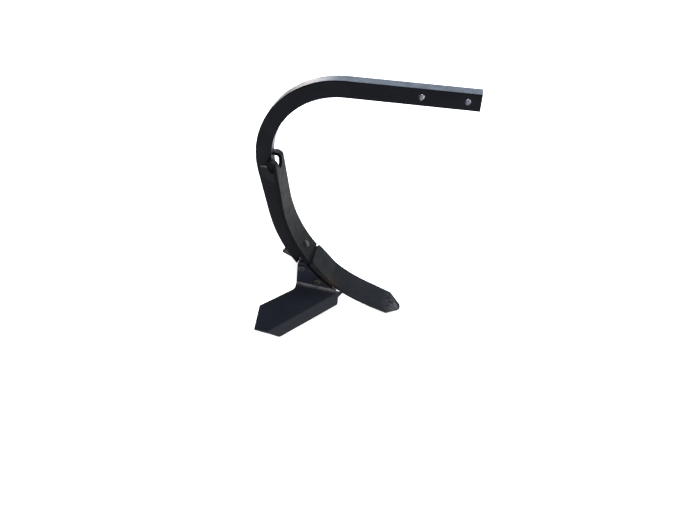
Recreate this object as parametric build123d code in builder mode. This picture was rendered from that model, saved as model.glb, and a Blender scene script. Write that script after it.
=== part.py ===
from build123d import *
from math import cos, sin, radians, sqrt
import os

# Spring-type cultivator tine: a square-bar C shank carrying a deflector, a share point and two
# wing shares.  Millimetres, +Z up, +X the direction of travel, Y across it (left is +Y).
# The origin is the centre of the front bore in the middle of the bar.

os.makedirs("parts", exist_ok=True)

# Shank bar
BAR_WIDTH = 30.0
BAR_DEPTH = 37.0
BAR_EDGE = 2.0
ARM_LENGTH = 277.0
BORE_END = 27.0
BORE_PITCH = 93.0
BORE_RADIUS = 6.75
BEND_RADIUS = 184.1
BEND_ANGLE = 100.0
LEG_STRAIGHT = 112.7

# The lower leg is an arc; "offset" is measured forwards from its rear face, "angle" down its curve.
LEG_RADIUS = 366.0
LEG_START = BEND_ANGLE - 90.0
LEG_END = 36.0
FOOT_BACK = 23.0
FOOT_END = 57.0
SCALLOP_RADIUS = 14.0
SCALLOP_OFFSET = 19.0
SCALLOP_ANGLE = 36.3
BORE_CHAMFER = 0.6

# Deflector strip in front of the leg
DEFLECTOR_THICK = 9.5
DEFLECTOR_TOP_WIDTH = 64.0
DEFLECTOR_LOW_WIDTH = 79.0
DEFLECTOR_LOW = 36.5
DEFLECTOR_LEAN = 6.5
DEFLECTOR_STRAIGHT = 107.5
DEFLECTOR_SWELL = 9.5
SWELL_END = 37.8
CURL_OUTER = 15.0
CURL_INNER = 7.0
CURL_ANGLE = 130.0
PRONG_GAP = 31.0
PRONG_DEPTH = 15.0

# Clip behind the deflector's top; the ear's corners are (X, Z) from the centre of the curl
CLIP_THICK = 2.5
CLIP_GAP = 0.3
CLIP_EAR = [(-27.5, -5.3), (-14, -3.7), (-2, -22), (9.2, -23), (11.6, -48), (-4, -46), (-24, -30)]

# Share point
SHARE_BACK = 43.0
SHARE_THICK = 9.0
SHARE_BEND = 50.0
SHARE_TOP_RISE = 4.0
SHARE_WIDTH = 77.5
SHARE_TOP = 36.6
SHARE_BOTTOM = 67.0
SHARE_CORNER = 10.0
NOSE_SHOULDER = 76.5
NOSE_LENGTH = 119.0
NOSE_TAPER_START = 30.0
NOSE_EDGE = 2.0
TIP_RADIUS = 18.0

# Wing bracket: a bent plate, its web behind the share and its cheeks inside the wing flaps
BRACKET_TOP = 37.7
BRACKET_LOW = 60.0
CHEEK_TOP = 38.6
CHEEK_LOW = 54.3
CHEEK_HEIGHT = 63.0
CHEEK_INSET = 2.5
CHEEK_OUT = 32.0
CHEEK_THICK = 6.0

# Wings
FLAP_THICK = 8.0
BEND_SLOPE = 6.0
BLADE_TILT = 25.0
WING_CORNER = (-360.0, -523.8)
FLAP_OFFSET = 36.8
FLAP_TOP = 70.0
FLAP_FRONT = 104.0
FLAP_REAR = -2.5
FLAP_CORNER = 10.0
BEND_FILLET = 5.0

# Blade outline: (along the bend line, outwards from it), and the fillet radius at its corners
BLADE_REAR = (0.0, 18.6)
BLADE_HEEL = (-74.7, 83.8)
BLADE_TAIL = (-71.0, 147.0)
BLADE_LOW = (-27.0, 149.0)
BLADE_CORNER = (-5.5, 151.0)
BLADE_FRONT = (116.0, 33.2)
BLADE_NICK = (113.0, 14.0)
BLADE_TIP = (121.5, 0.5)
BLADE_FILLETS = {BLADE_REAR: 16, BLADE_CORNER: 10, BLADE_FRONT: 8, BLADE_HEEL: 2}
BEVEL_WIDTH = 24.0
BEVEL_ANGLE = 13.0

# M10 fasteners
BOLT_RADIUS = 5.0
HOLE_RADIUS = 5.5
NUT_FLATS = 16.0
NUT_HEIGHT = 8.0
NUT_BORE = 5.05
WASHER_RADIUS = 10.0
WASHER_THICK = 2.0
PLOW_HEAD = 9.4
PLOW_DEPTH = 4.4
NECK_SIZE = 10.0
NECK_HOLE = 10.2
NECK_DEPTH = 8.0
BUTTON_RADIUS = 8.5
BUTTON_HEIGHT = 5.5
CUP_RADIUS = 9.5
CUP_HEIGHT = 4.5
SPOT_RADIUS = 10.0
SPOT_DEPTH = 0.4
SOCKET_FLATS = 6.0
SOCKET_DEPTH = 3.0
BOLT_END = 2.5

DEFLECTOR_BOLT_ANGLE = 30.4

# Share bolts: angle down the leg and offset of the countersunk head's face
SHARE_BOLTS = {"upper": (44.0, 55.6), "lower": (52.0, 52.0)}
WING_BOLTS = {"rear": (10.3, 51.5), "front": (53.4, 18.5)}

# Turning points of the shank's centreline in the XZ plane
BEND_START = (BORE_END - ARM_LENGTH, 0.0)
BEND_CENTRE = (BEND_START[0], -BEND_RADIUS)
LEG_TOP = (
    BEND_CENTRE[0] - BEND_RADIUS * cos(radians(LEG_START)),
    BEND_CENTRE[1] - BEND_RADIUS * sin(radians(LEG_START)),
)
ARC_TOP = (
    LEG_TOP[0] + LEG_STRAIGHT * sin(radians(LEG_START)),
    LEG_TOP[1] - LEG_STRAIGHT * cos(radians(LEG_START)),
)
CENTRELINE_RADIUS = LEG_RADIUS - BAR_DEPTH / 2
LEG_CENTRE = (
    ARC_TOP[0] + CENTRELINE_RADIUS * cos(radians(LEG_START)),
    ARC_TOP[1] + CENTRELINE_RADIUS * sin(radians(LEG_START)),
)
SHARE_FRONT = SHARE_BACK + SHARE_THICK
DEFLECTOR_FRONT = BAR_DEPTH + DEFLECTOR_THICK
FLAP_OUT = CHEEK_OUT + FLAP_THICK


def leg_point(angle, offset):
    """Point (X, Z) at an angle down the leg's curve and an offset forwards of its rear face."""
    reach = LEG_RADIUS - offset
    return (LEG_CENTRE[0] - reach * cos(radians(angle)), LEG_CENTRE[1] - reach * sin(radians(angle)))


def leg_plane(angle, offset):
    """Plane square to the leg's curve: local X runs down the curve, the normal points forwards."""
    x, z = leg_point(angle, offset)
    turn = radians(angle)
    return Plane(origin=(x, 0, z), x_dir=(sin(turn), 0, -cos(turn)), z_dir=(cos(turn), 0, sin(turn)))


def leg_arc(offset, start, end):
    """Arc along the leg's curve between two angles."""
    return CenterArc(LEG_CENTRE, LEG_RADIUS - offset, 180 + start, end - start)


def leg_band(back, front, start, end):
    """Sketch of the band between two offsets of the leg's curve."""
    with BuildSketch() as band:
        with BuildLine():
            rear = leg_arc(back, start, end)
            face = leg_arc(front, start, end)
            Line(rear @ 0, face @ 0)
            Line(rear @ 1, face @ 1)
        make_face()
    return band.sketch


def plow_seat(seat):
    """Cutter for a countersunk seat with a square neck hole."""
    with BuildPart() as cutter:
        with Locations(seat.offset((1 - PLOW_DEPTH) / 2)):
            Cone(BOLT_RADIUS, PLOW_HEAD + 1, PLOW_DEPTH + 1)
        with BuildSketch(seat.offset(1)):
            Rectangle(NECK_HOLE, NECK_HOLE)
        extrude(amount=-SHARE_THICK - SHARE_TOP_RISE - 2)
    return cutter.part


def plow_bolt(seat, length):
    """Countersunk square-neck bolt; its flat head lies in the seat plane."""
    with BuildPart() as bolt:
        with Locations(seat.offset(-PLOW_DEPTH / 2)):
            Cone(BOLT_RADIUS, PLOW_HEAD, PLOW_DEPTH)
        with BuildSketch(seat):
            Rectangle(NECK_SIZE, NECK_SIZE)
        extrude(amount=-NECK_DEPTH)
        with BuildSketch(seat):
            Circle(BOLT_RADIUS)
        extrude(amount=-length)
        end_face = bolt.faces().sort_by(Axis(seat.origin, seat.z_dir))[0]
        chamfer(end_face.edges(), 1)
    return bolt.part


def cup_bolt(seat, length):
    """Round-headed square-neck bolt; the head stands on the seat plane."""
    with BuildPart() as bolt:
        with BuildSketch(seat):
            Circle(CUP_RADIUS)
        extrude(amount=CUP_HEIGHT)
        crown = bolt.faces().sort_by(Axis(seat.origin, seat.z_dir))[-1]
        fillet(crown.edges(), CUP_HEIGHT * 0.9)
        with BuildSketch(seat):
            Rectangle(NECK_SIZE, NECK_SIZE)
        extrude(amount=-NECK_DEPTH)
        with BuildSketch(seat):
            Circle(BOLT_RADIUS)
        extrude(amount=-length)
        end_face = bolt.faces().sort_by(Axis(seat.origin, seat.z_dir))[0]
        chamfer(end_face.edges(), 1)
    return bolt.part


def button_bolt(seat, length):
    """Button-head bolt with a hexagon socket; the head stands on the seat plane."""
    with BuildPart() as bolt:
        with BuildSketch(seat):
            Circle(BUTTON_RADIUS)
        extrude(amount=BUTTON_HEIGHT)
        crown = bolt.faces().sort_by(Axis(seat.origin, seat.z_dir))[-1]
        fillet(crown.edges(), BUTTON_HEIGHT * 0.6)
        with BuildSketch(seat.offset(BUTTON_HEIGHT)):
            RegularPolygon(SOCKET_FLATS / 2, 6, major_radius=False)
        extrude(amount=-SOCKET_DEPTH, mode=Mode.SUBTRACT)
        with BuildSketch(seat):
            Circle(BOLT_RADIUS)
        extrude(amount=-length)
        end_face = bolt.faces().sort_by(Axis(seat.origin, seat.z_dir))[0]
        chamfer(end_face.edges(), 1)
    return bolt.part


def washer(seat):
    """Flat washer lying under the seat plane."""
    with BuildPart() as ring:
        with BuildSketch(seat):
            Circle(WASHER_RADIUS)
            Circle(HOLE_RADIUS, mode=Mode.SUBTRACT)
        extrude(amount=-WASHER_THICK)
    return ring.part


def hex_nut(seat):
    """Hexagon nut under the seat plane, its outer corners rounded off."""
    with BuildPart() as nut:
        with BuildSketch(seat):
            RegularPolygon(NUT_FLATS / 2, 6, major_radius=False)
        extrude(amount=-NUT_HEIGHT)
        with BuildSketch(seat.offset(-NUT_HEIGHT)):
            Circle(NUT_FLATS / 2)
        extrude(amount=NUT_HEIGHT, taper=-60, mode=Mode.INTERSECT)
        with BuildSketch(seat):
            Circle(NUT_BORE)
        extrude(amount=-NUT_HEIGHT, mode=Mode.SUBTRACT)
    return nut.part


# Shank: bar with rounded edges bent into a C, drawn down to a flat foot behind the share
with BuildPart() as shank:
    with BuildLine(Plane.XZ) as spine:
        Line((BORE_END, 0), BEND_START)
        CenterArc(BEND_CENTRE, BEND_RADIUS, 90, BEND_ANGLE)
        Line(LEG_TOP, ARC_TOP)
        leg_arc(BAR_DEPTH / 2, LEG_START, LEG_END)
    with BuildSketch(Plane(origin=(BORE_END, 0, 0), x_dir=(0, 1, 0), z_dir=(-1, 0, 0))):
        RectangleRounded(BAR_WIDTH, BAR_DEPTH, BAR_EDGE)
    sweep()
    with BuildSketch(Plane.XZ):
        add(leg_band(FOOT_BACK, BAR_DEPTH, LEG_END - 1, FOOT_END))
    extrude(amount=BAR_WIDTH / 2 - BAR_EDGE, both=True)
    with BuildSketch(Plane.XZ):
        with Locations(leg_point(SCALLOP_ANGLE, SCALLOP_OFFSET)):
            Circle(SCALLOP_RADIUS)
    extrude(amount=BAR_WIDTH, both=True, mode=Mode.SUBTRACT)
    with BuildSketch(Plane.XZ) as bores:
        with Locations((0, 0), (-BORE_PITCH, 0)):
            Circle(BORE_RADIUS)
    extrude(amount=BAR_WIDTH, both=True, mode=Mode.SUBTRACT)
    bore_rims = shank.edges().filter_by(GeomType.CIRCLE).filter_by(
        lambda e: abs(e.radius - BORE_RADIUS) < 0.01
    )
    chamfer(bore_rims, BORE_CHAMFER)
    with Locations(leg_plane(DEFLECTOR_BOLT_ANGLE, BAR_DEPTH / 2)):
        Hole(HOLE_RADIUS, depth=BAR_DEPTH)
    for angle, face in SHARE_BOLTS.values():
        with BuildSketch(leg_plane(angle, face)):
            Circle(HOLE_RADIUS)
        extrude(amount=-face, mode=Mode.SUBTRACT)

# Deflector: strip that follows the leg's front, then curls back over in two prongs
lean_up = (-sin(radians(DEFLECTOR_LEAN)), cos(radians(DEFLECTOR_LEAN)))
lean_front = (cos(radians(DEFLECTOR_LEAN)), sin(radians(DEFLECTOR_LEAN)))
front_low = leg_point(DEFLECTOR_LEAN, DEFLECTOR_FRONT)
curl_centre = (
    front_low[0] + DEFLECTOR_STRAIGHT * lean_up[0] - CURL_OUTER * lean_front[0],
    front_low[1] + DEFLECTOR_STRAIGHT * lean_up[1] - CURL_OUTER * lean_front[1],
)
prong_plane = Plane(
    origin=(curl_centre[0], 0, curl_centre[1]),
    x_dir=(0, 1, 0),
    z_dir=(lean_front[0], 0, lean_front[1]),
)

swell_centre = (LEG_CENTRE[0], LEG_CENTRE[1] + DEFLECTOR_SWELL)
swell_reach = LEG_RADIUS - DEFLECTOR_FRONT + DEFLECTOR_SWELL * sin(radians(DEFLECTOR_LEAN))
bolt_rise = DEFLECTOR_SWELL * sin(radians(DEFLECTOR_BOLT_ANGLE))
deflector_face = LEG_RADIUS - swell_reach + bolt_rise - SPOT_DEPTH
deflector_seat = leg_plane(DEFLECTOR_BOLT_ANGLE, deflector_face)

with BuildPart() as deflector:
    with BuildSketch(Plane.XZ):
        with BuildLine():
            back_face = leg_arc(BAR_DEPTH, DEFLECTOR_LOW, DEFLECTOR_LEAN)
            front_face = CenterArc(
                swell_centre, swell_reach, 180 + SWELL_END, DEFLECTOR_LEAN - SWELL_END
            )
            curl_front = CenterArc(curl_centre, CURL_OUTER, DEFLECTOR_LEAN, CURL_ANGLE)
            curl_back = CenterArc(curl_centre, CURL_INNER, DEFLECTOR_LEAN, CURL_ANGLE)
            Line(back_face @ 0, front_face @ 0)
            Line(front_face @ 1, curl_front @ 0)
            Line(back_face @ 1, curl_back @ 0)
            Line(curl_front @ 1, curl_back @ 1)
        make_face()
    extrude(amount=DEFLECTOR_LOW_WIDTH / 2, both=True)
    with BuildSketch(Plane.YZ):
        with BuildLine():
            top_z = curl_centre[1] + 2 * CURL_OUTER
            low_z = leg_point(DEFLECTOR_LOW, BAR_DEPTH)[1]
            Polyline(
                (-DEFLECTOR_TOP_WIDTH / 2, top_z),
                (DEFLECTOR_TOP_WIDTH / 2, top_z),
                (DEFLECTOR_LOW_WIDTH / 2, low_z),
                (-DEFLECTOR_LOW_WIDTH / 2, low_z),
                close=True,
            )
        make_face()
    extrude(amount=2 * LEG_RADIUS, both=True, mode=Mode.INTERSECT)
    with BuildSketch(prong_plane.offset(-2 * CURL_OUTER)):
        with Locations((0, PRONG_GAP / 2 - PRONG_DEPTH)):
            Circle(PRONG_GAP / 2)
            Rectangle(PRONG_GAP, 4 * CURL_OUTER, align=(Align.CENTER, Align.MIN))
    extrude(amount=4 * CURL_OUTER, mode=Mode.SUBTRACT)
    with BuildSketch(deflector_seat):
        Rectangle(NECK_HOLE, NECK_HOLE)
    extrude(amount=-2 * DEFLECTOR_THICK, mode=Mode.SUBTRACT)
    with BuildSketch(deflector_seat):
        Circle(SPOT_RADIUS)
    extrude(amount=CUP_HEIGHT, mode=Mode.SUBTRACT)

# Clip: thin ears beside the shank, joined by a web on the deflector's back
curl_plane = Plane(origin=(curl_centre[0], 0, curl_centre[1]), x_dir=(1, 0, 0), z_dir=(0, -1, 0))
web_top = CLIP_EAR[3]
web_low = CLIP_EAR[4]
clip_half = BAR_WIDTH / 2 + CLIP_GAP
with BuildPart() as deflector_clip:
    with BuildSketch(curl_plane):
        Polygon(*CLIP_EAR, align=None)
    extrude(amount=clip_half + CLIP_THICK, both=True)
    with BuildSketch(curl_plane):
        Polygon(*CLIP_EAR, align=None)
        web_back = [(web_low[0] - CLIP_THICK, web_low[1]), (web_top[0] - CLIP_THICK, web_top[1])]
        Polygon(web_top, web_low, *web_back, align=None, mode=Mode.SUBTRACT)
    extrude(amount=clip_half, both=True, mode=Mode.SUBTRACT)

# Share point: thick strip that continues the curve, then a straight pointed nose
nose_plane = leg_plane(SHARE_BOTTOM, SHARE_FRONT)
with BuildPart() as share_point:
    with BuildSketch(Plane.XZ):
        with BuildLine():
            share_rear = leg_arc(SHARE_BACK, SHARE_TOP, SHARE_BOTTOM)
            share_face = leg_arc(SHARE_FRONT, SHARE_BEND, SHARE_BOTTOM)
            Polyline(share_rear @ 0, leg_point(SHARE_TOP, SHARE_FRONT + SHARE_TOP_RISE), share_face @ 0)
            Line(share_rear @ 1, share_face @ 1)
        make_face()
    extrude(amount=SHARE_WIDTH / 2, both=True)
    top_corners = share_point.edges().filter_by(Axis((0, 0, 0), leg_plane(SHARE_TOP, 0).z_dir))
    fillet(top_corners.group_by(Axis.Z)[-1], SHARE_CORNER)
    with BuildSketch(nose_plane):
        with BuildLine():
            Polyline(
                (0, SHARE_WIDTH / 2),
                (NOSE_SHOULDER, SHARE_WIDTH / 2),
                (NOSE_LENGTH, 0),
                (NOSE_SHOULDER, -SHARE_WIDTH / 2),
                (0, -SHARE_WIDTH / 2),
                close=True,
            )
        nose_face = make_face()
        fillet(nose_face.vertices().sort_by(Axis.X)[-1], TIP_RADIUS)
    extrude(amount=-SHARE_THICK)
    with BuildSketch(Plane(origin=nose_plane.origin, x_dir=nose_plane.x_dir, z_dir=(0, -1, 0))):
        Polygon(
            (NOSE_TAPER_START, -SHARE_THICK),
            (NOSE_LENGTH, -NOSE_EDGE),
            (NOSE_LENGTH, -2 * SHARE_THICK),
            align=None,
        )
    extrude(amount=SHARE_WIDTH, both=True, mode=Mode.SUBTRACT)
    for angle, face in SHARE_BOLTS.values():
        add(plow_seat(leg_plane(angle, face)), mode=Mode.SUBTRACT)

# Wing frame of the right-hand wing: E is the rear end of the bend line on the flap's outer face
slope = radians(BEND_SLOPE)
tilt = radians(BLADE_TILT)
bend_dir = Vector(cos(slope), 0, -sin(slope))
flap_up = Vector(sin(slope), 0, cos(slope))
blade_out = Vector(0, -1, 0) * cos(tilt) - flap_up * sin(tilt)
wing_origin = Vector(WING_CORNER[0], -FLAP_OUT, WING_CORNER[1])
flap_plane = Plane(origin=wing_origin, x_dir=bend_dir, z_dir=(0, -1, 0))
blade_plane = Plane(origin=wing_origin, x_dir=bend_dir, z_dir=bend_dir.cross(blade_out))


def on_flap(u, w, y):
    """Plane on the right wing's flap at (u, w), at a distance y outwards of the middle."""
    centre = wing_origin + bend_dir * u + flap_up * w
    return Plane(origin=(centre.X, -y, centre.Z), x_dir=bend_dir, z_dir=(0, -1, 0))


# Bracket: bent plate between share and foot, with a cheek inside each wing flap
cheek_base = wing_origin + bend_dir * CHEEK_INSET + flap_up
cheek_top = cheek_base + flap_up * CHEEK_HEIGHT
with BuildPart() as wing_bracket:
    with BuildSketch(Plane.XZ):
        add(leg_band(BAR_DEPTH, SHARE_BACK, BRACKET_TOP, BRACKET_LOW))
        with BuildLine():
            front = leg_arc(SHARE_BACK, CHEEK_TOP, CHEEK_LOW)
            Polyline(front @ 1, (cheek_base.X, cheek_base.Z), (cheek_top.X, cheek_top.Z), front @ 0)
        make_face()
    extrude(amount=CHEEK_OUT, both=True)
    with BuildSketch(Plane.XZ):
        add(leg_band(-2 * BAR_DEPTH, BAR_DEPTH, BRACKET_TOP - 10, BRACKET_LOW + 5))
    extrude(amount=CHEEK_OUT - CHEEK_THICK, both=True, mode=Mode.SUBTRACT)
    for angle, face in SHARE_BOLTS.values():
        with BuildSketch(leg_plane(angle, face)):
            Circle(HOLE_RADIUS)
        extrude(amount=-face, mode=Mode.SUBTRACT)
    for u, w in WING_BOLTS.values():
        with BuildSketch(on_flap(u, w, CHEEK_OUT)):
            Circle(HOLE_RADIUS)
        extrude(amount=-2 * CHEEK_OUT, mode=Mode.SUBTRACT)

# Right-hand wing: sloping blade with a sharpened leading edge, bent up into a bolted flap
mitre = FLAP_THICK * (1 / cos(tilt) - sin(tilt) / cos(tilt))
blade_edge = Vector(*BLADE_FRONT) - Vector(*BLADE_CORNER)
edge_dir = blade_edge.normalized()
edge_out = Vector(-edge_dir.Y, edge_dir.X)
bevel_start = Vector(*BLADE_FRONT) - edge_out * BEVEL_WIDTH
bevel_angle = radians(BEVEL_ANGLE)
edge_along = bend_dir * edge_dir.X + blade_out * edge_dir.Y
edge_across = bend_dir * edge_out.X + blade_out * edge_out.Y
bevel_normal = edge_across * sin(bevel_angle) - blade_plane.z_dir * cos(bevel_angle)
bevel_plane = Plane(
    origin=wing_origin + bend_dir * bevel_start.X + blade_out * bevel_start.Y,
    x_dir=edge_along,
    z_dir=bevel_normal,
)
arc_u = (Vector(LEG_CENTRE[0], -FLAP_OUT, LEG_CENTRE[1]) - wing_origin).dot(bend_dir)
arc_w = (Vector(LEG_CENTRE[0], -FLAP_OUT, LEG_CENTRE[1]) - wing_origin).dot(flap_up)
flap_reach = LEG_RADIUS - FLAP_OFFSET


def flap_edge(w):
    """Distance along the bend line to the flap's curved front edge at height w."""
    return arc_u - sqrt(flap_reach**2 - (arc_w - w) ** 2)


with BuildPart() as wing_right:
    with BuildSketch(blade_plane):
        with BuildLine():
            Polyline(
                (0, -mitre),
                BLADE_REAR,
                BLADE_HEEL,
                BLADE_TAIL,
                BLADE_LOW,
                BLADE_CORNER,
                BLADE_FRONT,
                BLADE_NICK,
                BLADE_TIP,
                (FLAP_FRONT, 0),
                (FLAP_FRONT, -mitre),
                close=True,
            )
        blade_face = make_face()
        for spot, radius in BLADE_FILLETS.items():
            corner = blade_face.vertices().sort_by_distance((*spot, 0))[0]
            blade_face = fillet(corner, radius)
    extrude(amount=FLAP_THICK)
    split(bisect_by=bevel_plane, keep=Keep.BOTTOM)
    with BuildSketch(flap_plane):
        with BuildLine():
            top_front = (flap_edge(FLAP_TOP), FLAP_TOP)
            low_front = (FLAP_FRONT, arc_w - sqrt(flap_reach**2 - (arc_u - FLAP_FRONT) ** 2))
            Polyline(
                top_front,
                (FLAP_REAR, FLAP_TOP),
                (0, -mitre),
                (FLAP_FRONT, -mitre),
                low_front,
            )
            RadiusArc(low_front, top_front, flap_reach)
        flap_face = make_face()
        fillet(flap_face.vertices().sort_by_distance((FLAP_REAR, FLAP_TOP, 0))[0], FLAP_CORNER)
    extrude(amount=-FLAP_THICK)
    bend_edges = wing_right.edges().filter_by(Axis(wing_origin, bend_dir))
    mid_bend = wing_origin + bend_dir * FLAP_FRONT / 2
    fillet(bend_edges.sort_by_distance(mid_bend)[0], BEND_FILLET)
    bend_edges = wing_right.edges().filter_by(Axis(wing_origin, bend_dir))
    mid_back = mid_bend + Vector(0, FLAP_THICK, 0) - flap_up * mitre
    fillet(bend_edges.sort_by_distance(mid_back)[0], BEND_FILLET + FLAP_THICK / 2)
    for u, w in WING_BOLTS.values():
        with BuildSketch(on_flap(u, w, FLAP_OUT)):
            Circle(HOLE_RADIUS)
        extrude(amount=-FLAP_THICK, mode=Mode.SUBTRACT)
    with BuildSketch(Plane.XZ):
        add(leg_band(SHARE_BACK - 1, SHARE_FRONT + 1, SHARE_TOP, SHARE_BOTTOM))
    extrude(amount=SHARE_WIDTH / 2 + CLIP_GAP, both=True, mode=Mode.SUBTRACT)

with BuildPart() as wing_left:
    mirror(wing_right.part, about=Plane.XZ)

# Deflector bolt, clamping the deflector to the leg
deflector_length = deflector_face + WASHER_THICK + NUT_HEIGHT + BOLT_END
with BuildPart() as deflector_bolt:
    add(cup_bolt(deflector_seat, deflector_length))
with BuildPart() as deflector_washer:
    add(washer(leg_plane(DEFLECTOR_BOLT_ANGLE, 0)))
with BuildPart() as deflector_nut:
    add(hex_nut(leg_plane(DEFLECTOR_BOLT_ANGLE, -WASHER_THICK)))

pieces = {
    "shank": shank,
    "deflector": deflector,
    "deflector_clip": deflector_clip,
    "share_point": share_point,
    "wing_bracket": wing_bracket,
    "wing_right": wing_right,
    "wing_left": wing_left,
    "deflector_bolt": deflector_bolt,
    "deflector_washer": deflector_washer,
    "deflector_nut": deflector_nut,
}

# Share bolts, through share, bracket and foot
for place, (angle, face) in SHARE_BOLTS.items():
    share_length = face - FOOT_BACK + WASHER_THICK + NUT_HEIGHT + BOLT_END
    with BuildPart() as share_bolt:
        add(plow_bolt(leg_plane(angle, face), share_length))
    with BuildPart() as share_washer:
        add(washer(leg_plane(angle, FOOT_BACK)))
    with BuildPart() as share_nut:
        add(hex_nut(leg_plane(angle, FOOT_BACK - WASHER_THICK)))
    pieces[f"share_bolt_{place}"] = share_bolt
    pieces[f"share_washer_{place}"] = share_washer
    pieces[f"share_nut_{place}"] = share_nut

# Wing bolts, through flap and cheek on each side
wing_length = FLAP_THICK + CHEEK_THICK + NUT_HEIGHT + BOLT_END / 2
for place, (u, w) in WING_BOLTS.items():
    with BuildPart() as bolt_right:
        add(button_bolt(on_flap(u, w, FLAP_OUT), wing_length))
    with BuildPart() as bolt_left:
        mirror(bolt_right.part, about=Plane.XZ)
    with BuildPart() as nut_right:
        add(hex_nut(on_flap(u, w, CHEEK_OUT - CHEEK_THICK)))
    with BuildPart() as nut_left:
        mirror(nut_right.part, about=Plane.XZ)
    pieces[f"wing_bolt_right_{place}"] = bolt_right
    pieces[f"wing_bolt_left_{place}"] = bolt_left
    pieces[f"wing_nut_right_{place}"] = nut_right
    pieces[f"wing_nut_left_{place}"] = nut_left

for label, piece in pieces.items():
    piece.part.label = label
    export_step(piece.part, f"parts/{label}.step")
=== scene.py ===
import math

import bpy
from mathutils import Matrix, Vector


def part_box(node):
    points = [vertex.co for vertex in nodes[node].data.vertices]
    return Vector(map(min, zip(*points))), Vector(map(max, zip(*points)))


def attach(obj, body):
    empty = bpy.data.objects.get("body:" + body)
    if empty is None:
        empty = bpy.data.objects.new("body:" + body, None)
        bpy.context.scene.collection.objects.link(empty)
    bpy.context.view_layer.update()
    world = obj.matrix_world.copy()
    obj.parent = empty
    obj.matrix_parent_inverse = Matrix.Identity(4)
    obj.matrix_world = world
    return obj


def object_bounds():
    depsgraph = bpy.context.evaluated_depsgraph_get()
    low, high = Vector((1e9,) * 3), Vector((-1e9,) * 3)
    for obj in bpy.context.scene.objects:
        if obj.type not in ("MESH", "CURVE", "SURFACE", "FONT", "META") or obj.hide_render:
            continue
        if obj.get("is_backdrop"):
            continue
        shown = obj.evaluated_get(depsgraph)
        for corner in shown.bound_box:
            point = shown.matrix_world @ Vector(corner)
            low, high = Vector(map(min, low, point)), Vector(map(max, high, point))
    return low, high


# Looks of a cultivator tine.  Metres, +Z up, +X the direction of travel, right-hand side at -Y.

# ---------------------------------------------------------------- frame
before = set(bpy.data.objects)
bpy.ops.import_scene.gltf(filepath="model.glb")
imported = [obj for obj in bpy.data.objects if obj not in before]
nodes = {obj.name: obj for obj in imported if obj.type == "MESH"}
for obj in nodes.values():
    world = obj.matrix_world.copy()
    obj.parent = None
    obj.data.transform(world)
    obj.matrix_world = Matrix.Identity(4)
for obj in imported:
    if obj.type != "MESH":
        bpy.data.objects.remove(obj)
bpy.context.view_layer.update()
scene = bpy.context.scene

# ---------------------------------------------------------------- sizes
BEND_SLOPE = math.radians(6)
BLADE_TILT = math.radians(25)
BUTTON_HEIGHT = 0.0055

# Places on the right wing: along the bend line from its rear end, then up the flap or out on the blade
REAR_BOLT = (0.0103, 0.0515)
RUST_PLACE = (0.080, 0.014)
BLADE_CORNER = (-0.0055, 0.151)
BLADE_FRONT = (0.116, 0.0332)
GROUND_WIDTH = 0.0235
GROUND_FADE = 0.002

EDGE_SOFTNESS = 0.0006
FASTENER_SOFTNESS = 0.0003
SHARP_ANGLE = math.radians(30)

# Thread ridges start just past the nut, NUT_REACH from its middle
THREAD_RADIUS = 0.00502
THREAD_CREST = 0.00525
THREAD_PITCH = 0.0005625
THREAD_TURNS = 3
NUT_REACH = 0.0041

WELD_RADIUS = 0.0016
WELD_STEP = 0.0009
WELD_SINK = 0.0004

FLOOR_SIZE = 40
FLOOR_GAP = 0.0005

# ---------------------------------------------------------------- places on the object
UP = Vector((0, 0, 1))
ACROSS = Vector((0, 1, 0))
bend_dir = Vector((math.cos(BEND_SLOPE), 0, -math.sin(BEND_SLOPE)))
flap_up = Vector((math.sin(BEND_SLOPE), 0, math.cos(BEND_SLOPE)))
blade_out = -ACROSS * math.cos(BLADE_TILT) - flap_up * math.sin(BLADE_TILT)


def box_of(node):
    """Lower and upper corner of a node's box."""
    lower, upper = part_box(node)
    return Vector(lower), Vector(upper)


def centre_of(node):
    """Middle of a node's box."""
    lower, upper = box_of(node)
    return (lower + upper) / 2


# The rear bolt's head stands on the right flap, so it gives the flap's outer face and the bend line
bolt_seat = centre_of("wing_bolt_right_rear")
bolt_seat.y = box_of("wing_bolt_right_rear")[0].y + BUTTON_HEIGHT
bend_start = bolt_seat - bend_dir * REAR_BOLT[0] - flap_up * REAR_BOLT[1]
rust_spot = bend_start + bend_dir * RUST_PLACE[0] + flap_up * RUST_PLACE[1]
edge_rear = bend_start + bend_dir * BLADE_CORNER[0] + blade_out * BLADE_CORNER[1]
edge_front = bend_start + bend_dir * BLADE_FRONT[0] + blade_out * BLADE_FRONT[1]
edge_normal = (edge_front - edge_rear).cross(bend_dir.cross(blade_out)).normalized()
share_low, share_high = box_of("share_point")
share_tip = Vector((share_high.x, 0, share_low.z))
clip_low, clip_high = box_of("deflector_clip")
# Height of the painted highlight along the top rim of the clip's ears
clip_rim = Vector((clip_low.x, 0, clip_high.z - 0.0009))


# ---------------------------------------------------------------- node helpers
def new_material(name):
    """Material with an empty node tree."""
    mat = bpy.data.materials.new(name)
    mat.use_nodes = True
    mat.node_tree.nodes.clear()
    return mat, mat.node_tree


def show(tree, shader):
    """Joins a shader to the material's output."""
    out = tree.nodes.new("ShaderNodeOutputMaterial")
    tree.links.new(shader.outputs["BSDF"], out.inputs["Surface"])


def ramp(tree, source, stops):
    """Colour ramp; a stop's colour may be a grey level or an (r, g, b) triple."""
    node = tree.nodes.new("ShaderNodeValToRGB")
    elements = node.color_ramp.elements
    for index, (position, colour) in enumerate(stops):
        rgb = colour if isinstance(colour, tuple) else (colour, colour, colour)
        element = elements[index] if index < 2 else elements.new(position)
        element.position = position
        element.color = (*rgb, 1)
    tree.links.new(source, node.inputs["Fac"])
    return node.outputs["Color"]


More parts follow.
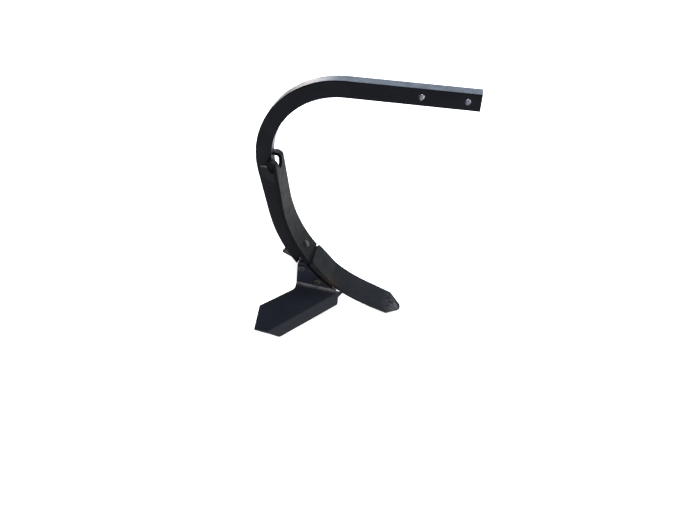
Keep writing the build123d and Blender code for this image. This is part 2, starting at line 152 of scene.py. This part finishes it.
def noise(tree, vector, scale, detail, rough, stretch=None):
    """Noise texture, stretched along the axes if three factors are given."""
    source = vector
    if stretch:
        mapping = tree.nodes.new("ShaderNodeMapping")
        mapping.inputs["Scale"].default_value = stretch
        tree.links.new(vector, mapping.inputs["Vector"])
        source = mapping.outputs["Vector"]
    node = tree.nodes.new("ShaderNodeTexNoise")
    node.inputs["Scale"].default_value = scale
    node.inputs["Detail"].default_value = detail
    node.inputs["Roughness"].default_value = rough
    tree.links.new(source, node.inputs["Vector"])
    return node.outputs["Fac"]


def mix_colour(tree, factor, first, second):
    """The first colour, going over to the second where the factor is 1."""
    node = tree.nodes.new("ShaderNodeMix")
    node.data_type = "RGBA"
    tree.links.new(factor, node.inputs[0])
    tree.links.new(first, node.inputs[6])
    tree.links.new(second, node.inputs[7])
    return node.outputs[2]


def product(tree, first, second):
    """Product of two values, kept between 0 and 1."""
    node = tree.nodes.new("ShaderNodeMath")
    node.operation = "MULTIPLY"
    node.use_clamp = True
    tree.links.new(first, node.inputs[0])
    tree.links.new(second, node.inputs[1])
    return node.outputs["Value"]


def without_sign(tree, value):
    """Absolute value."""
    node = tree.nodes.new("ShaderNodeMath")
    node.operation = "ABSOLUTE"
    tree.links.new(value, node.inputs[0])
    return node.outputs["Value"]


def vector_node(tree, operation, source, constant=None):
    """Vector operation on a source and, if given, a constant vector."""
    node = tree.nodes.new("ShaderNodeVectorMath")
    node.operation = operation
    tree.links.new(source, node.inputs[0])
    if constant is not None:
        node.inputs[1].default_value = constant
    return node


def near_point(tree, coords, point, inner, outer):
    """1 within the inner distance of a point, falling to 0 at the outer distance."""
    distance = vector_node(tree, "DISTANCE", coords, point)
    return ramp(tree, distance.outputs["Value"], [(inner, 1.0), (outer, 0.0)])


def near_plane(tree, coords, point, normal, inner, outer):
    """1 within the inner distance of a plane, falling to 0 at the outer distance."""
    shift = vector_node(tree, "SUBTRACT", coords, point)
    height = vector_node(tree, "DOT_PRODUCT", shift.outputs["Vector"], normal)
    distance = without_sign(tree, height.outputs["Value"])
    return ramp(tree, distance, [(inner, 1.0), (outer, 0.0)])


def one_side(tree, coords):
    """Folds the left side onto the right, for places whose X, Y and Z are all negative there."""
    positive = vector_node(tree, "ABSOLUTE", coords)
    folded = vector_node(tree, "MULTIPLY", positive.outputs["Vector"], (-1, -1, -1))
    return folded.outputs["Vector"]


# ---------------------------------------------------------------- masks for a paint's layers
def flecks(strength):
    """Mask of flecks all over."""

    def mask(tree, coords, patch):
        return ramp(tree, patch, [(0.60, 0.0), (0.70, strength)])

    return mask


def blotches(point, inner, outer):
    """Mask of broken blotches around a point."""

    def mask(tree, coords, patch):
        around = near_point(tree, coords, point, inner, outer)
        return product(tree, around, ramp(tree, patch, [(0.40, 0.0), (0.52, 0.55)]))

    return mask


def rubbed_patch(point, inner, outer):
    """Mask of the places that soil has rubbed around a point, with softer edges than blotches."""

    def mask(tree, coords, patch):
        around = near_point(tree, coords, point, inner, outer)
        return product(tree, around, ramp(tree, patch, [(0.42, 0.0), (0.60, 0.55)]))

    return mask


def painted_highlight_line(point, normal, inner, outer):
    """Mask of an uneven painted highlight line where a plane cuts the surface."""

    def mask(tree, coords, patch):
        along = near_plane(tree, coords, point, normal, inner, outer)
        return product(tree, along, ramp(tree, patch, [(0.30, 0.25), (0.55, 0.80)]))

    return mask


def shaded_side_faces(tree, coords, patch):
    """Mask of the faces that look across the direction of travel, where painted shade darkens the
    sides.
    """
    normal = tree.nodes.new("ShaderNodeTexCoord").outputs["Normal"]
    facing = tree.nodes.new("ShaderNodeSeparateXYZ")
    tree.links.new(normal, facing.inputs["Vector"])
    return ramp(tree, without_sign(tree, facing.outputs["Y"]), [(0.75, 0.0), (0.95, 1.0)])


def ground_edge(tree, coords, patch):
    """Mask of the band along both blades' leading edges."""
    folded = one_side(tree, coords)
    return near_plane(tree, folded, edge_front, edge_normal, GROUND_WIDTH, GROUND_WIDTH + GROUND_FADE)


# ---------------------------------------------------------------- paints
# The darker and the lighter tone of what a layer shows
RUST = ((0.016, 0.009, 0.004), (0.046, 0.024, 0.010))
# Pale steel tones: real worn steel at the share's point, and painted highlight along the wing's bend
# line and the clip's top rim
WORN_STEEL_AND_HIGHLIGHT = ((0.14, 0.14, 0.15), (0.27, 0.27, 0.29))
GROUND_STEEL = ((0.020, 0.024, 0.031), (0.032, 0.037, 0.046))
# Darker enamel tones: painted shade on the deflector's side faces
PAINTED_SIDE_SHADE = ((0.0020, 0.0024, 0.0034), (0.0032, 0.0038, 0.0054))


def lighter(colour, factor, offset):
    """A colour with each channel multiplied and raised."""
    return tuple(channel * factor + offset for channel in colour)


def paint(name, dark, light, rough, spec, layers=(), grain=0.12):
    """Blotchy enamel with dust and orange peel; each layer over it is a mask and two tones."""
    mat, tree = new_material(name)
    coords = tree.nodes.new("ShaderNodeTexCoord").outputs["Object"]
    fine = noise(tree, coords, 420, 3, 0.6)
    patch = noise(tree, coords, 60, 6, 0.7)
    base = ramp(tree, noise(tree, coords, 24, 5, 0.6), [(0.32, dark), (0.70, light)])

    smear = noise(tree, coords, 9, 5, 0.7, stretch=(1, 1, 2.5))
    dust = product(tree, ramp(tree, smear, [(0.45, 0.05), (0.75, 0.32)]), fine)
    dusty = ramp(tree, fine, [(0.0, lighter(light, 2, 0.012)), (1.0, lighter(light, 3, 0.02))])
    base = mix_colour(tree, dust, base, dusty)

    for mask, (low_tone, high_tone) in layers:
        tones = ramp(tree, fine, [(0.3, low_tone), (0.7, high_tone)])
        base = mix_colour(tree, mask(tree, coords, patch), base, tones)

    sheen = noise(tree, coords, 60, 4, 0.6)
    roughness = ramp(tree, sheen, [(0.3, rough - 0.05), (0.75, rough + 0.10)])
    bump = tree.nodes.new("ShaderNodeBump")
    bump.inputs["Strength"].default_value = grain
    bump.inputs["Distance"].default_value = 0.0004
    tree.links.new(noise(tree, coords, 800, 2, 0.5), bump.inputs["Height"])

    shader = tree.nodes.new("ShaderNodeBsdfPrincipled")
    shader.inputs["Metallic"].default_value = 0.0
    shader.inputs["Specular IOR Level"].default_value = spec
    tree.links.new(base, shader.inputs["Base Color"])
    tree.links.new(roughness, shader.inputs["Roughness"])
    tree.links.new(bump.outputs["Normal"], shader.inputs["Normal"])
    show(tree, shader)
    return mat


shank_paint = paint(
    "shank enamel", (0.0022, 0.0028, 0.0045), (0.0042, 0.0050, 0.0078), 0.28, 0.065, grain=0.08
)
deflector_paint = paint(
    "deflector enamel", (0.0042, 0.0046, 0.0050), (0.0085, 0.0088, 0.0090), 0.55, 0.065,
    # painted shade: the side faces are darkened in colour
    [(shaded_side_faces, PAINTED_SIDE_SHADE)],
)
wing_paint = paint(
    "wing enamel", (0.0040, 0.0058, 0.0120), (0.0085, 0.0112, 0.0200), 0.50, 0.12,
    [
        (blotches(rust_spot, 0.010, 0.032), RUST),
        # painted highlight along the bend between flap and blade
        (painted_highlight_line(bend_start, flap_up, 0.0004, 0.0014), WORN_STEEL_AND_HIGHLIGHT),
        (ground_edge, GROUND_STEEL),
    ],
)
share_paint = paint(
    "share enamel", (0.0048, 0.0056, 0.0074), (0.0098, 0.0106, 0.0124), 0.50, 0.090,
    [
        (blotches(rust_spot, 0.012, 0.040), RUST),
        (rubbed_patch(share_tip, 0.010, 0.060), WORN_STEEL_AND_HIGHLIGHT),
    ],
)
bracket_paint = paint(
    "bracket enamel", (0.003, 0.004, 0.006), (0.007, 0.007, 0.008), 0.55, 0.08,
    [(flecks(0.5), RUST)],
)
fastener_steel = paint(
    "painted fasteners", (0.008, 0.009, 0.011), (0.026, 0.026, 0.028), 0.40, 0.30,
    [(flecks(0.3), RUST)],
)
clip_paint = paint(
    "clip enamel", (0.0022, 0.0028, 0.0045), (0.0060, 0.0068, 0.0090), 0.40, 0.09,
    # painted highlight along the top rim of the clip's ears
    [(painted_highlight_line(clip_rim, UP, 0.0008, 0.0016), WORN_STEEL_AND_HIGHLIGHT)],
)

FINISH = {
    "shank": (shank_paint, "shank_paint"),
    "deflector": (deflector_paint, "deflector_paint"),
    "deflector_clip": (clip_paint, "deflector_paint"),
    "share_bolt_upper": (share_paint, "fastener_steel"),
    "share_bolt_lower": (share_paint, "fastener_steel"),
    "share_point": (share_paint, "share_steel"),
    "wing_bracket": (bracket_paint, "bracket_paint"),
    "wing_left": (wing_paint, "wing_paint"),
    "wing_right": (wing_paint, "wing_paint"),
}
FASTENER = (fastener_steel, "fastener_steel")
FASTENER_WORDS = ("bolt", "nut", "washer")
for name, piece in nodes.items():
    material, slot = FINISH.get(name, FASTENER)
    small = any(word in name for word in FASTENER_WORDS)
    piece.data.materials.clear()
    piece.data.materials.append(material)
    soften = piece.modifiers.new("soft edges", "BEVEL")
    soften.width = FASTENER_SOFTNESS if small else EDGE_SOFTNESS
    soften.segments = 2
    soften.limit_method = "ANGLE"
    soften.angle_limit = SHARP_ANGLE


# ---------------------------------------------------------------- threads and welds
def tube(name, path, material, sides):
    """Closed tube along (centre, direction, radius) stations; it rides the one rigid body."""
    vertices = []
    for centre, direction, radius in path:
        across = direction.cross(ACROSS if abs(direction.y) < 0.9 else UP).normalized()
        side = direction.cross(across).normalized()
        for step in range(sides):
            turn = 2 * math.pi * step / sides
            vertices.append(centre + (across * math.cos(turn) + side * math.sin(turn)) * radius)
    faces = []
    for ring in range(len(path) - 1):
        here = ring * sides
        there = here + sides
        for step in range(sides):
            after = (step + 1) % sides
            faces.append((here + step, here + after, there + after, there + step))
    faces.append(tuple(reversed(range(sides))))
    faces.append(tuple(range((len(path) - 1) * sides, len(path) * sides)))
    mesh = bpy.data.meshes.new(name)
    mesh.from_pydata([tuple(v) for v in vertices], [], faces)
    mesh.shade_smooth()
    piece = bpy.data.objects.new(name, mesh)
    piece.data.materials.append(material)
    scene.collection.objects.link(piece)
    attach(piece, "root")


def bolt_thread(name, washer, nut):
    """Thread ridges on the end of a bolt that stands out of its nut."""
    axis = (centre_of(nut) - centre_of(washer)).normalized()
    start = centre_of(nut) + axis * NUT_REACH
    path = []
    for turn in range(THREAD_TURNS):
        path.append((start + axis * THREAD_PITCH * turn, axis, THREAD_RADIUS))
        path.append((start + axis * THREAD_PITCH * (turn + 0.5), axis, THREAD_CREST))
    tube(name, path, fastener_steel, 20)


bolt_thread("deflector_thread", "deflector_washer", "deflector_nut")
for place in ("upper", "lower"):
    bolt_thread(f"share_thread_{place}", f"share_washer_{place}", f"share_nut_{place}")


def weld(name, start, end):
    """Rippled weld bead between two points, thinner at its ends."""
    along = end - start
    count = max(8, int(along.length / WELD_STEP))
    path = []
    for step in range(count + 1):
        share = step / count
        taper = min(1.0, 0.35 + 6 * min(share, 1 - share))
        ripple = 1 + 0.16 * math.sin(step * 2.1) + 0.05 * math.sin(step * 0.9)
        path.append((start + along * share, along.normalized(), WELD_RADIUS * taper * ripple))
    tube(name, path, deflector_paint, 10)


# One bead down each ear of the clip, along the deflector's back
for side, y in (("right", clip_low.y + WELD_SINK), ("left", clip_high.y - WELD_SINK)):
    top = Vector((clip_high.x - 0.0034, y, clip_high.z - 0.0210))
    low = Vector((clip_high.x - 0.0012, y, clip_low.z + 0.0040))
    weld(f"clip_weld_{side}", top, low)

# ---------------------------------------------------------------- floor
low_corner, high_corner = (Vector(corner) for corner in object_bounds())


def pale_floor():
    """Near-white paper that glows a little, so that it stays pale under the object."""
    mat, tree = new_material("pale floor")
    coords = tree.nodes.new("ShaderNodeTexCoord").outputs["Object"]
    colour = ramp(tree, noise(tree, coords, 3, 2, 0.5), [(0.3, 0.93), (0.7, 0.95)])
    shader = tree.nodes.new("ShaderNodeBsdfPrincipled")
    shader.inputs["Roughness"].default_value = 0.9
    shader.inputs["Specular IOR Level"].default_value = 0.1
    shader.inputs["Emission Strength"].default_value = 0.85
    tree.links.new(colour, shader.inputs["Base Color"])
    tree.links.new(colour, shader.inputs["Emission Color"])
    show(tree, shader)
    return mat


bpy.ops.mesh.primitive_plane_add(size=FLOOR_SIZE, location=(0, 0, low_corner.z - FLOOR_GAP))
floor = bpy.context.object
floor.name = "floor"
floor.data.materials.append(pale_floor())
floor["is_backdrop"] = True

# ---------------------------------------------------------------- light
world = bpy.data.worlds.new("studio")
world.use_nodes = True
background = world.node_tree.nodes["Background"]
background.inputs["Color"].default_value = (0.95, 0.97, 1.0, 1)
background.inputs["Strength"].default_value = 0.40
scene.world = world

middle = (low_corner + high_corner) / 2
middle.y = 0


def panel(name, azimuth, elevation, distance, size, power, colour):
    """Soft rectangular light that faces the object; azimuth 0 is at +Y and 90 at +X."""
    data = bpy.data.lights.new(name, "AREA")
    data.shape = "RECTANGLE"
    data.size, data.size_y = size
    data.energy = power
    data.color = colour
    turn = math.radians(azimuth)
    lift = math.radians(elevation)
    away = Vector((math.sin(turn) * math.cos(lift), math.cos(turn) * math.cos(lift), math.sin(lift)))
    lamp = bpy.data.objects.new(name, data)
    lamp.location = middle + away * distance
    lamp.rotation_euler = (-away).to_track_quat("-Z", "Y").to_euler()
    scene.collection.objects.link(lamp)


panel("sky panel", -3, 25, 3.0, (2.8, 0.9), 62, (0.66, 0.79, 1.0))
panel("warm panel", -25, 12, 3.0, (0.8, 1.1), 24, (1.0, 0.92, 0.90))
panel("fill", 0, 58, 3.2, (2.4, 1.6), 60, (0.95, 0.97, 1.0))
panel("key", 150, 55, 3.5, (3.2, 3.2), 45, (1.0, 0.98, 0.95))

# ---------------------------------------------------------------- camera
# Azimuth 0 looks along +Y; elevation is how far the camera looks down; roll turns it about its axis
CAMERA_PLACE = (-0.04758, -1.20045, 0.54357)
CAMERA_AZIMUTH = math.radians(8.579)
CAMERA_ELEVATION = math.radians(39.821)
CAMERA_ROLL = math.radians(2.124)

camera_data = bpy.data.cameras.new("camera")
camera_data.sensor_width = 36
camera_data.lens = 31.967
camera_data.clip_start = 0.01
camera_data.clip_end = 100
camera = bpy.data.objects.new("camera", camera_data)
camera.matrix_world = (
    Matrix.Translation(CAMERA_PLACE)
    @ Matrix.Rotation(CAMERA_AZIMUTH, 4, "Z")
    @ Matrix.Rotation(math.pi / 2 - CAMERA_ELEVATION, 4, "X")
    @ Matrix.Rotation(CAMERA_ROLL, 4, "Z")
)
scene.collection.objects.link(camera)
scene.camera = camera
scene.view_settings.view_transform = "Standard"
